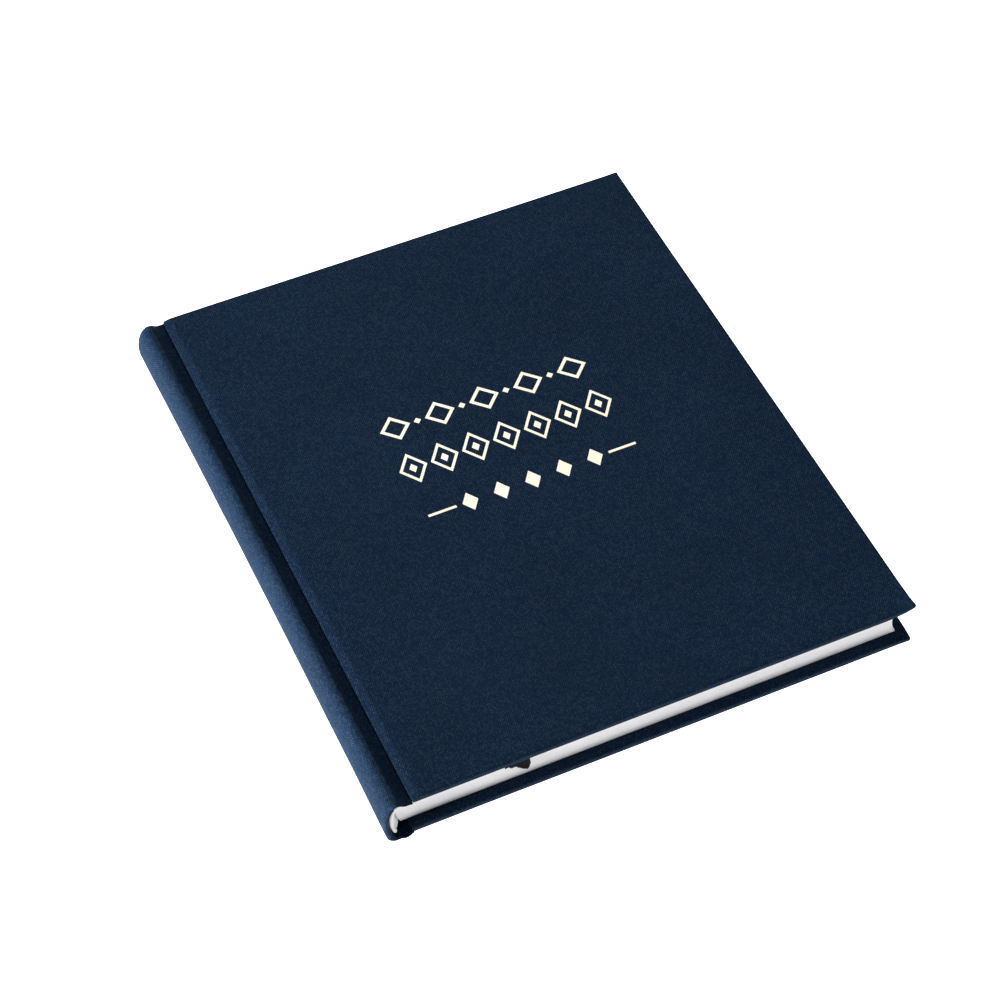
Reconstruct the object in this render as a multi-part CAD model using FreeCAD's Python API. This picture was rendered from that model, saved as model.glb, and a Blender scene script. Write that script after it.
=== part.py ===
import FreeCAD, Part
import math
import os

# A cloth-bound, round-backed notebook lying closed on its back cover.
# Millimetres. X runs from the spine to the fore-edge, Y from the tail to the head, Z up.
# The origin is the centre of the bounding box's bottom face.

# ---- driving dimensions: the closed book
BOOK_WIDTH = 169.3
BOOK_HEIGHT = 200.0
BOOK_THICKNESS = 17.0

# ---- driving dimensions: the case
CLOTH = 0.2
BOARD = 2.0
COVER_THICKNESS = BOARD + 2.0 * CLOTH
BOARD_SETBACK = 8.55
COVER_CORNER_RADIUS = 1.8
BOARD_SPINE_CORNER_RADIUS = 0.8
COVER_EDGE_RADIUS = 0.5
BOARD_EDGE_RADIUS = 0.3
TURN_IN = 15.0
PASTEDOWN_MARGIN = 4.0
PASTEDOWN = 0.12
SPINE_DEPTH = 3.9
SPINE_HALF_THICKNESS = 8.05
SPINE_CLOTH = 0.25
SPINE_INLAY = 0.4
INLAY_HALF_WIDTH = 6.0
SPINE_CAP = 0.3
JOINT_CLOTH = 0.25
JOINT_END_CLEARANCE = 0.06
GROOVE_DEPTH = 1.6

# ---- driving dimensions: the text block
SQUARE = 3.6
LEAF_WIDTH = 159.4
SIGNATURE_COUNT = 12
SIGNATURE = 0.9166
SIGNATURE_GAP = 0.03
FLYLEAF = 0.12
SHEET_GAP = 0.05
RIBBON_LAYER = 0.26
BACK_ARC_X = 4.75
BACK_ARC_SAGITTA = 1.5
BACK_ARC_HALF_HEIGHT = 5.9
STRIP_ABOVE_MIDDLE = 5.5
STRIP_BELOW_MIDDLE = 5.9

# ---- driving dimensions: the block's linings, bands, sewing and ribbon
THREAD_DIAMETER = 0.24
THREAD_OFFSET = 0.03
THREAD_STATIONS = (-88.0, -52.0, -18.0, 18.0, 52.0, 88.0)
MULL_OFFSET = 0.30
MULL = 0.15
LINING = 0.2
BAND_SKIRT_OFFSET = 0.05
BAND_SKIRT = 0.23
BAND_SKIRT_START = 90.0
BAND_WEB_OFFSET = 0.15
BAND_WEB = 1.3
BAND_BEAD_OFFSET = 1.1
BAND_BEAD = 1.3
BAND_BEAD_START = 0.9
BAND_BEAD_RISE = 3.4
LINING_HALF_HEIGHT = 95.4
MULL_HALF_HEIGHT = 89.6
RIBBON_WIDTH = 8.0
RIBBON = 0.18
RIBBON_HEAD_X = 10.6
RIBBON_TAIL_X = 43.0
RIBBON_TIP_DROP = 7.6
RIBBON_TIP_REACH = 0.35

# ---- driving dimensions: the stamped foil ornament
FOIL = 0.03
FOIL_CENTRE_FROM_SPINE = 88.0
FOIL_HALF_WIDTH = 35.0
FOIL_STROKE = 0.9

# ---- derived positions
SPINE_X = -BOOK_WIDTH / 2.0
FORE_X = BOOK_WIDTH / 2.0
HALF_HEIGHT = BOOK_HEIGHT / 2.0
MID_Z = BOOK_THICKNESS / 2.0
BLOCK_HALF_HEIGHT = HALF_HEIGHT - SQUARE
BOARD_EDGE_X = SPINE_X + BOARD_SETBACK
FRONT_INNER_Z = BOOK_THICKNESS - COVER_THICKNESS
BACK_FLYLEAF_Z = COVER_THICKNESS + PASTEDOWN + SHEET_GAP
FRONT_FLYLEAF_TOP_Z = FRONT_INNER_Z - PASTEDOWN - SHEET_GAP
BLOCK_BOTTOM_Z = BACK_FLYLEAF_Z + FLYLEAF + SIGNATURE_GAP
SIGNATURE_PITCH = SIGNATURE + SIGNATURE_GAP
BACK_RADIUS = (BACK_ARC_HALF_HEIGHT ** 2 + BACK_ARC_SAGITTA ** 2) / (2.0 * BACK_ARC_SAGITTA)
BACK_CENTRE_X = SPINE_X + BACK_ARC_X + BACK_RADIUS
SIGNATURE_TOP_Z = BLOCK_BOTTOM_Z + SIGNATURE_COUNT * SIGNATURE_PITCH - SIGNATURE_GAP
ORIGIN = FreeCAD.Vector(0, 0, 0)
ALONG_Y = FreeCAD.Vector(0, 1, 0)


def box(x0, x1, y0, y1, z0, z1):
    return Part.makeBox(x1 - x0, y1 - y0, z1 - z0, FreeCAD.Vector(x0, y0, z0))


def upright(shape, x):
    """The edges parallel to Z that lie at x."""
    found = []
    for edge in shape.Edges:
        ends = [v.Point for v in edge.Vertexes]
        is_upright = abs(ends[0].x - ends[1].x) < 1e-6 and abs(ends[0].y - ends[1].y) < 1e-6
        if is_upright and abs(ends[0].x - x) < 1e-6:
            found.append(edge)
    return found


def level_edges(shape, z):
    """The edges that lie wholly at height z."""
    found = []
    for edge in shape.Edges:
        bounds = edge.BoundBox
        if abs(bounds.ZMin - z) < 1e-6 and abs(bounds.ZMax - z) < 1e-6:
            found.append(edge)
    return found


def rounded_plate(x0, x1, half_y, z0, z1, spine_radius, fore_radius, edge_radius):
    """A plate with blunted corners and softened long edges."""
    plate = box(x0, x1, -half_y, half_y, z0, z1)
    plate = plate.makeFillet(fore_radius, upright(plate, x1))
    plate = plate.makeFillet(spine_radius, upright(plate, x0))
    return plate.makeFillet(edge_radius, level_edges(plate, z0) + level_edges(plate, z1))


def cover_cloth():
    """Book cloth round the front board: outer face, edges and the turn-ins on the inner face."""
    skin = rounded_plate(
        BOARD_EDGE_X, FORE_X, HALF_HEIGHT, FRONT_INNER_Z, BOOK_THICKNESS,
        BOARD_SPINE_CORNER_RADIUS, COVER_CORNER_RADIUS, COVER_EDGE_RADIUS,
    )
    window = box(
        BOARD_EDGE_X - 1.0, FORE_X - TURN_IN, -(HALF_HEIGHT - TURN_IN), HALF_HEIGHT - TURN_IN,
        FRONT_INNER_Z - 1.0, FRONT_INNER_Z + CLOTH + 0.5 * BOARD,
    )
    return skin.cut(board()).cut(window)


def board():
    """The greyboard inside the front cover."""
    return rounded_plate(
        BOARD_EDGE_X + CLOTH, FORE_X - CLOTH, HALF_HEIGHT - CLOTH,
        FRONT_INNER_Z + CLOTH, BOOK_THICKNESS - CLOTH,
        BOARD_SPINE_CORNER_RADIUS - CLOTH, COVER_CORNER_RADIUS - CLOTH, BOARD_EDGE_RADIUS,
    )


def pastedown():
    """The front endpaper's glued half: a sheet over the turn-ins, filled out to the board between them."""
    sheet = box(
        BOARD_EDGE_X + COVER_EDGE_RADIUS, FORE_X - PASTEDOWN_MARGIN,
        -(HALF_HEIGHT - PASTEDOWN_MARGIN), HALF_HEIGHT - PASTEDOWN_MARGIN,
        FRONT_INNER_Z - PASTEDOWN, FRONT_INNER_Z,
    )
    middle = box(
        BOARD_EDGE_X + COVER_EDGE_RADIUS, FORE_X - TURN_IN - CLOTH,
        -(HALF_HEIGHT - TURN_IN - CLOTH), HALF_HEIGHT - TURN_IN - CLOTH,
        FRONT_INNER_Z - PASTEDOWN, FRONT_INNER_Z + CLOTH,
    )
    return sheet.fuse(middle).removeSplitter()


def on_back(shape):
    """The back cover's copy of a front cover piece: mirrored through the book's mid plane."""
    return shape.mirror(FreeCAD.Vector(0, 0, MID_Z), FreeCAD.Vector(0, 0, 1))


def elliptic_bar(inset, half_y):
    """A full-height elliptic bar along Y whose outer left side is the spine, inset inwards."""
    centre = FreeCAD.Vector(SPINE_X + SPINE_DEPTH, -half_y, MID_Z)
    upper = FreeCAD.Vector(SPINE_X + SPINE_DEPTH, -half_y, MID_Z + SPINE_HALF_THICKNESS - inset)
    side = FreeCAD.Vector(SPINE_X + inset, -half_y, MID_Z)
    curve = Part.Ellipse(upper, side, centre)
    face = Part.Face(Part.Wire(curve.toShape()))
    return face.extrude(FreeCAD.Vector(0, 2.0 * half_y, 0))


def spine_shell(outer_inset, inner_inset, half_y, half_z):
    """The part of an elliptic tube wall on the spine's side, within half_z of the mid plane."""
    wall = elliptic_bar(outer_inset, half_y).cut(elliptic_bar(inner_inset, half_y + 1.0))
    keep = box(
        SPINE_X - 1.0, SPINE_X + SPINE_DEPTH, -half_y, half_y, MID_Z - half_z, MID_Z + half_z,
    )
    return wall.common(keep)


def spine_inlay():
    """The strip of card that stiffens the rounded spine."""
    return spine_shell(
        SPINE_CLOTH, SPINE_CLOTH + SPINE_INLAY, HALF_HEIGHT - SPINE_CAP, INLAY_HALF_WIDTH,
    )


def spine_cloth():
    """Book cloth over the spine, turned in round the inlay's ends at the head and the tail."""
    outer = spine_shell(0.0, SPINE_CLOTH, HALF_HEIGHT, BOOK_THICKNESS)
    lapped = spine_shell(0.0, 2.0 * SPINE_CLOTH + SPINE_INLAY, HALF_HEIGHT, INLAY_HALF_WIDTH)
    middle = box(
        SPINE_X - 1.0, SPINE_X + SPINE_DEPTH, -(HALF_HEIGHT - TURN_IN), HALF_HEIGHT - TURN_IN,
        0.0, BOOK_THICKNESS,
    )
    return outer.fuse(lapped.cut(middle)).cut(spine_inlay())


def joint_profile_point(dx, z, half_y):
    return FreeCAD.Vector(SPINE_X + dx, -half_y, z)


def joint_cloth():
    """Cloth dipping into the groove between the spine and the front board."""
    half_y = HALF_HEIGHT
    top = BOOK_THICKNESS
    upper = [
        joint_profile_point(SPINE_DEPTH + JOINT_END_CLEARANCE, MID_Z + SPINE_HALF_THICKNESS, half_y),
        joint_profile_point(4.9, top - 0.56, half_y),
        joint_profile_point(5.7, top - 1.0, half_y),
        joint_profile_point(6.5, top - 1.45, half_y),
        joint_profile_point(7.3, top - GROOVE_DEPTH, half_y),
        joint_profile_point(BOARD_SETBACK - JOINT_END_CLEARANCE, top - GROOVE_DEPTH, half_y),
    ]
    drop = FreeCAD.Vector(0, 0, -JOINT_CLOTH)
    lower = [p.add(drop) for p in upper]
    over = Part.BSplineCurve()
    over.interpolate(upper)
    under = Part.BSplineCurve()
    under.interpolate(lower)
    outline = Part.Wire([
        over.toShape(),
        Part.makeLine(upper[-1], lower[-1]),
        under.toShape(),
        Part.makeLine(lower[0], upper[0]),
    ])
    return Part.Face(outline).extrude(FreeCAD.Vector(0, 2.0 * half_y, 0))


def back_arc_x(z, radius):
    """Where a circle about the rounded back's centre stands at height z."""
    rise = z - MID_Z
    return BACK_CENTRE_X - math.sqrt(radius ** 2 - rise ** 2)


def signature(number):
    """A gathering of folded leaves: square at the fore-edge and round along its fold."""
    z0 = BLOCK_BOTTOM_Z + (number - 1) * SIGNATURE_PITCH
    middle_z = z0 + 0.5 * SIGNATURE
    radius = 0.5 * SIGNATURE
    fold_x = back_arc_x(middle_z, BACK_RADIUS - radius)
    leaves = box(
        fold_x, fold_x + LEAF_WIDTH - radius, -BLOCK_HALF_HEIGHT, BLOCK_HALF_HEIGHT, z0, z0 + SIGNATURE,
    )
    fold = Part.makeCylinder(
        radius, 2.0 * BLOCK_HALF_HEIGHT, FreeCAD.Vector(fold_x, -BLOCK_HALF_HEIGHT, middle_z), ALONG_Y,
    )
    return leaves.fuse(fold).removeSplitter()


def flyleaf(z0):
    """An endpaper's free half."""
    x0 = back_arc_x(MID_Z + BACK_ARC_HALF_HEIGHT, BACK_RADIUS)
    return box(x0, x0 + LEAF_WIDTH, -BLOCK_HALF_HEIGHT, BLOCK_HALF_HEIGHT, z0, z0 + FLYLEAF)


def back_strip(offset, thickness, y0, y1):
    """A strip glued round the block's back, offset outwards from the folds."""
    low_z = MID_Z - STRIP_BELOW_MIDDLE
    high_z = MID_Z + STRIP_ABOVE_MIDDLE
    inner = BACK_RADIUS + offset
    outer = inner + thickness

    def at(radius, z):
        return FreeCAD.Vector(back_arc_x(z, radius), y0, z)

    outline = Part.Wire([
        Part.Arc(at(outer, low_z), at(outer, MID_Z), at(outer, high_z)).toShape(),
        Part.makeLine(at(outer, high_z), at(inner, high_z)),
        Part.Arc(at(inner, high_z), at(inner, MID_Z), at(inner, low_z)).toShape(),
        Part.makeLine(at(inner, low_z), at(outer, low_z)),
    ])
    return Part.Face(outline).extrude(FreeCAD.Vector(0, y1 - y0, 0))


def head_band():
    """A woven band: a bead level with the case's head, a web leaning out to it, and a skirt glued to the back."""
    end = BLOCK_HALF_HEIGHT + BAND_BEAD_RISE
    bead = back_strip(BAND_BEAD_OFFSET, BAND_BEAD, BLOCK_HALF_HEIGHT + BAND_BEAD_START, end)
    bead = bead.makeFillet(0.45 * BAND_BEAD, long_edges_at(bead, end))
    web = back_strip(
        BAND_WEB_OFFSET, BAND_WEB, LINING_HALF_HEIGHT + SHEET_GAP, BLOCK_HALF_HEIGHT + BAND_BEAD_START + 0.4,
    )
    skirt = back_strip(BAND_SKIRT_OFFSET, BAND_SKIRT, BAND_SKIRT_START, LINING_HALF_HEIGHT + 0.4)
    return bead.fuse(web).fuse(skirt).removeSplitter()


def long_edges_at(shape, y):
    """The curved edges that lie wholly at y."""
    found = []
    for edge in shape.Edges:
        bounds = edge.BoundBox
        if abs(bounds.YMin - y) < 1e-6 and abs(bounds.YMax - y) < 1e-6 and edge.Length > 2.0:
            found.append(edge)
    return found


def at_tail(shape):
    """The tail's copy of a head piece."""
    return shape.mirror(ORIGIN, ALONG_Y)


def sewing_thread():
    """The rows of linking stitches that tie the gatherings together across the back."""
    rows = []
    for y in THREAD_STATIONS:
        half = 0.5 * THREAD_DIAMETER
        rows.append(back_strip(THREAD_OFFSET, THREAD_DIAMETER, y - half, y + half))
    return Part.makeCompound(rows)


def ribbon_marker():
    """A ribbon laid across the top gathering, its tip bent down over the tail edge."""
    z0 = SIGNATURE_TOP_Z + SIGNATURE_GAP
    half = 0.5 * RIBBON_WIDTH
    head_y = BLOCK_HALF_HEIGHT - SHEET_GAP
    tail_y = -(BLOCK_HALF_HEIGHT + RIBBON_TIP_REACH)
    corners = [
        FreeCAD.Vector(SPINE_X + RIBBON_HEAD_X - half, head_y, z0),
        FreeCAD.Vector(SPINE_X + RIBBON_HEAD_X + half, head_y, z0),
        FreeCAD.Vector(SPINE_X + RIBBON_TAIL_X + half, tail_y, z0),
        FreeCAD.Vector(SPINE_X + RIBBON_TAIL_X - half, tail_y, z0),
    ]
    band = Part.Face(Part.makePolygon(corners + [corners[0]])).extrude(FreeCAD.Vector(0, 0, RIBBON))
    tip = box(
        SPINE_X + RIBBON_TAIL_X - 0.5 * half, SPINE_X + RIBBON_TAIL_X + half,
        tail_y - RIBBON, tail_y, z0 + RIBBON - RIBBON_TIP_DROP, z0 + RIBBON,
    )
    return band.fuse(tip).removeSplitter()


def lozenge(cx, cy, half_x, half_y):
    """A solid lozenge of foil on the front cover, centred cx from the ornament's middle."""
    x = SPINE_X + FOIL_CENTRE_FROM_SPINE + cx
    z = BOOK_THICKNESS
    corners = [
        FreeCAD.Vector(x - half_x, cy, z),
        FreeCAD.Vector(x, cy - half_y, z),
        FreeCAD.Vector(x + half_x, cy, z),
        FreeCAD.Vector(x, cy + half_y, z),
    ]
    face = Part.Face(Part.makePolygon(corners + [corners[0]]))
    return face.extrude(FreeCAD.Vector(0, 0, FOIL))


def lozenge_frame(cx, cy, half_x, half_y):
    """A lozenge with its middle left open."""
    outer = lozenge(cx, cy, half_x, half_y)
    shrink = 1.0 - 1.6 * FOIL_STROKE / half_y
    return outer.cut(lozenge(cx, cy, half_x * shrink, half_y * shrink))


def rule(cx, cy, half_x, half_y):
    """A straight bar of foil."""
    x = SPINE_X + FOIL_CENTRE_FROM_SPINE + cx
    return box(x - half_x, x + half_x, cy - half_y, cy + half_y, BOOK_THICKNESS, BOOK_THICKNESS + FOIL)


def foil_ornament():
    """Three rows of plain lozenges and rules stamped in foil."""
    pieces = []
    for step in range(-2, 3):
        pieces.append(lozenge_frame(15.0 * step, 27.0, 5.0, 5.0))
    for step in (-1.5, -0.5, 0.5, 1.5):
        pieces.append(lozenge(15.0 * step, 27.0, 1.2, 1.2))
    for step in range(-3, 4):
        pieces.append(lozenge_frame(10.4 * step, 10.0, 4.6, 6.2))
        pieces.append(lozenge(10.4 * step, 10.0, 1.3, 1.8))
    for step in range(-2, 3):
        pieces.append(lozenge(10.4 * step, -9.2, 2.6, 3.6))
    for side in (-1.0, 1.0):
        pieces.append(rule(side * 30.0, -9.2, 4.6, 0.5 * FOIL_STROKE))
    return Part.makeCompound(pieces)


nodes = {
    "front_board": board(),
    "front_cover_cloth": cover_cloth(),
    "front_pastedown": pastedown(),
    "foil_ornament": foil_ornament(),
    "front_joint_cloth": joint_cloth(),
    "back_board": on_back(board()),
    "back_cover_cloth": on_back(cover_cloth()),
    "back_pastedown": on_back(pastedown()),
    "back_joint_cloth": on_back(joint_cloth()),
    "spine_cloth": spine_cloth(),
    "spine_inlay": spine_inlay(),
    "spine_mull": back_strip(MULL_OFFSET, MULL, -MULL_HALF_HEIGHT, MULL_HALF_HEIGHT),
    "spine_lining": back_strip(MULL_OFFSET + MULL, LINING, -LINING_HALF_HEIGHT, LINING_HALF_HEIGHT),
    "head_band": head_band(),
    "tail_band": at_tail(head_band()),
    "sewing_thread": sewing_thread(),
    "front_flyleaf": flyleaf(FRONT_FLYLEAF_TOP_Z - FLYLEAF),
    "back_flyleaf": flyleaf(BACK_FLYLEAF_Z),
    "ribbon_marker": ribbon_marker(),
}
for number in range(1, SIGNATURE_COUNT + 1):
    nodes["signature_%02d" % number] = signature(number)

os.makedirs("parts", exist_ok=True)
for name, shape in nodes.items():
    shape.exportStep("parts/%s.step" % name)
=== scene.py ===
import math

import bpy
from mathutils import Matrix, Vector, noise


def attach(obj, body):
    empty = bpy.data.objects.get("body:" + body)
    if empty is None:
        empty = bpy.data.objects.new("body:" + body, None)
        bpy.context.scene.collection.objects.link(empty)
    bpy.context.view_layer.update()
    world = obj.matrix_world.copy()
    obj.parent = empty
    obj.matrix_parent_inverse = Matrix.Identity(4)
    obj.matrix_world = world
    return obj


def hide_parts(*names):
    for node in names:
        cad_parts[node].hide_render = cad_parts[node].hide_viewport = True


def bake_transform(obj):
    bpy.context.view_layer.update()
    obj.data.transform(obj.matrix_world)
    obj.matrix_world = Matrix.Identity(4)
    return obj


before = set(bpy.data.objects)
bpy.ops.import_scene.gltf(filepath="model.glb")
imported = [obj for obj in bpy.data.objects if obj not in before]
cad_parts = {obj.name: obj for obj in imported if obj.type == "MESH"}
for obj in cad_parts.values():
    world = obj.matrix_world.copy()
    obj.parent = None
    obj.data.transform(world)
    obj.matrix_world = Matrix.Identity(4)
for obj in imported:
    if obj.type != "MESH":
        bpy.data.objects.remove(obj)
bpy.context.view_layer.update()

MM = 0.001

# ---------------------------------------------------------------- sizes, in millimetres
# A place across the book is often given as its distance d from the spine's outside.
BOOK_WIDTH = 169.3
HALF_HEIGHT = 100.0
THICKNESS = 17.0
SPINE_X = -BOOK_WIDTH / 2
FORE_X = BOOK_WIDTH / 2
MID_Z = THICKNESS / 2

# covers
CLOTH = 0.2
COVER = 2.4
INNER_Z = THICKNESS - COVER
JOINT_END = 8.55
BOARD_EDGE_X = SPINE_X + JOINT_END
TURN_IN = 15.0
TURN_IN_AT_SPINE = 1.4
MITRE = 0.3
MARGIN_SEEN = 3.6
FORE_CORNER = 0.45
SPINE_CORNER = 0.9
SQUARE_CORNER = 0.25
LEAST_CORNER = 0.06
TOP_ROUND = 0.75
UNDER_ROUND = 0.45
BOARD_ROUND = 0.3
BOARD_GAP = 0.01
SPINE_ROUND = 0.14
LEAST_ROUND = 0.02
GRIPPED = 0.38
GRIP_HEIGHT = 1.2
PRESSED = 0.27
PRESSED_WIDTH = 2.75
FADE_START, FADE_END, GRIP_FADE_END = 62, 94, 90
CORNER_REACH = 7.0
CORNER_LIFT = 0.75
CORNER_PINCH = 1.1
ORNAMENT_D, ORNAMENT_Y = 88, 10
UNEVEN, UNEVEN_SPAN = 0.12, 34

# spine and joints
SPINE_DEPTH = 3.9
SPINE_RISE = 8.05
BULGE_AT_HEAD, BULGE_AT_TAIL, BULGE_SPAN, FLATTER_MIDDLE = 0.42, 0.20, 85, 0.05
BULGE_D = (1.2, 4.6)
LIP_Y = 99.0
LIP_REACH = 1.0
LIP_STEPS = 9
LIP_EXTRA = 1.15
SINGLE_CLOTH = 0.27
TURNED_CLOTH = 0.9
TURNED_CLOTH_THINNER = 0.2
TURNED_FROM_Y = 85.0
GROOVE_D = (4.6, 6.6)
BACK_GROOVE_FILL = 1.56
BACK_TAIL_BULGE = 0.55
TAIL_SHIFT_FROM_Y = 97
TAIL_SHIFT = 0.35
BACK_TAIL_SHIFT = 0.55
CARD_END = 2.35
CARD_OUTER, CARD_INNER = 0.29, 0.66
CARD_HALF = 98.9
PAPER_START, PAPER_END = 5.9, 9.2
PAPER = 0.1

# leaves
BLOCK_HALF = 96.4
BLOCK_BOTTOM = 2.72
SIGNATURE = 0.9166
SHEETS = 4
LEAF = SIGNATURE / (2 * SHEETS)
PITCH = SIGNATURE + 0.03
SIGNATURES = 12
FIRST_TURNING = 7
LEAF_WIDTH = 159.4
BACK_HALF_RISE, BACK_HOLLOW = 5.9, 1.5
BACK_RADIUS = (BACK_HALF_RISE ** 2 + BACK_HOLLOW ** 2) / (2 * BACK_HOLLOW)
BACK_CENTRE_X = SPINE_X + 4.75 + BACK_RADIUS

# ribbon marker
RIBBON_Z = BLOCK_BOTTOM + SIGNATURES * PITCH + 0.09
RIBBON_HEAD_D = 10.6
RIBBON_TAIL_D = 41.5
RIBBON_HALF = 4.15
RIBBON_HALF_THICK = 0.07
RIBBON_BEND = 0.25
RIBBON_TIP = [
    (-1.0, 4.5), (-0.75, 4.3), (-0.5, 5.3), (-0.2, 4.9), (0.1, 5.9),
    (0.45, 7.0), (0.75, 7.9), (0.9, 7.4), (1.0, 5.6),
]

# book cloth
WARP_PITCH = 0.40
WEFT_PITCH = 0.50


# ---------------------------------------------------------------- mesh helpers

def wander(x, y, z, scale, amount):
    """A smooth, repeatable offset that varies over about `scale` millimetres."""
    return amount * noise.noise(Vector((x / scale, y / scale, z / scale)))


def smoothstep(a, b, x):
    """0 up to a, 1 from b, and a smooth rise between."""
    t = min(1.0, max(0.0, (x - a) / (b - a)))
    return t * t * (3 - 2 * t)


def make_piece(name, points, faces, uvs=None, smooth=True, wear=None):
    """A mesh object from points in millimetres; uvs are weave coordinates in millimetres."""
    mesh = bpy.data.meshes.new(name)
    mesh.from_pydata([(x * MM, y * MM, z * MM) for x, y, z in points], [], faces)
    if uvs is not None:
        layer = mesh.uv_layers.new(name="weave")
        for loop in mesh.loops:
            u, v = uvs[loop.vertex_index]
            layer.data[loop.index].uv = (u * MM, v * MM)
    if wear is not None:
        attribute = mesh.attributes.new("wear", "FLOAT", "POINT")
        attribute.data.foreach_set("value", wear)
    mesh.polygons.foreach_set("use_smooth", [smooth] * len(mesh.polygons))
    if smooth:
        mesh.set_sharp_from_angle(angle=math.radians(27))
    mesh.update()
    piece = bpy.data.objects.new(name, mesh)
    bpy.context.scene.collection.objects.link(piece)
    return piece


def lattice(rows, columns, first=0, loop_columns=False, flip=False):
    """Quads between neighbouring points of a rows x columns lattice."""
    faces = []
    for r in range(rows - 1):
        below = first + r * columns
        above = below + columns
        for c in range(columns if loop_columns else columns - 1):
            d = (c + 1) % columns
            quad = (below + c, below + d, above + d, above + c)
            faces.append(quad[::-1] if flip else quad)
    return faces


def rim_quads(rows, columns, flip=False):
    """Quads that join the borders of two lattices, the second stored straight after the first."""
    count = rows * columns
    last_row, last_column = (rows - 1) * columns, columns - 1
    rim = (
        list(range(last_column)) + [r * columns + last_column for r in range(rows - 1)]
        + [last_row + c for c in range(last_column, 0, -1)]
        + [r * columns for r in range(rows - 1, 0, -1)]
    )
    pairs = zip(rim, rim[1:] + rim[:1])
    if flip:
        return [(b, a, a + count, b + count) for a, b in pairs]
    return [(a, b, b + count, a + count) for a, b in pairs]


def back_arc_x(z, radius):
    """Where a circle about the rounded back's centre stands at height z."""
    return BACK_CENTRE_X - math.sqrt(radius ** 2 - (z - MID_Z) ** 2)


# ---------------------------------------------------------------- covers

def side_steps(length, zone, fine, coarse):
    """Distances along a side: fine steps near both ends, coarse ones between."""
    near = [zone * i / fine for i in range(fine + 1)]
    middle = [zone + (length - 2 * zone) * i / coarse for i in range(1, coarse)]
    return near + middle + [length - d for d in reversed(near)]


def plate_point(u, v, x0, x1, half_y, spine_radius, fore_radius):
    """A point of a rounded rectangle, from its place (0 to 1) on the plain rectangle."""
    x = x0 + u * (x1 - x0)
    y = -half_y + v * 2 * half_y
    side_x = -1 if u < 0.5 else 1
    side_y = -1 if v < 0.5 else 1
    radius = spine_radius if u < 0.5 else fore_radius
    dx = (x - x0) if u < 0.5 else (x1 - x)
    dy = half_y - abs(y)
    if dx < radius and dy < radius:
        p = (radius - dx) / radius
        q = (radius - dy) / radius
        corner_x = (x0 + radius) if u < 0.5 else (x1 - radius)
        corner_y = side_y * (half_y - radius)
        x = corner_x + side_x * radius * p * math.sqrt(1 - q * q / 2)
        y = corner_y + side_y * radius * q * math.sqrt(1 - p * p / 2)
    return x, y


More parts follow.
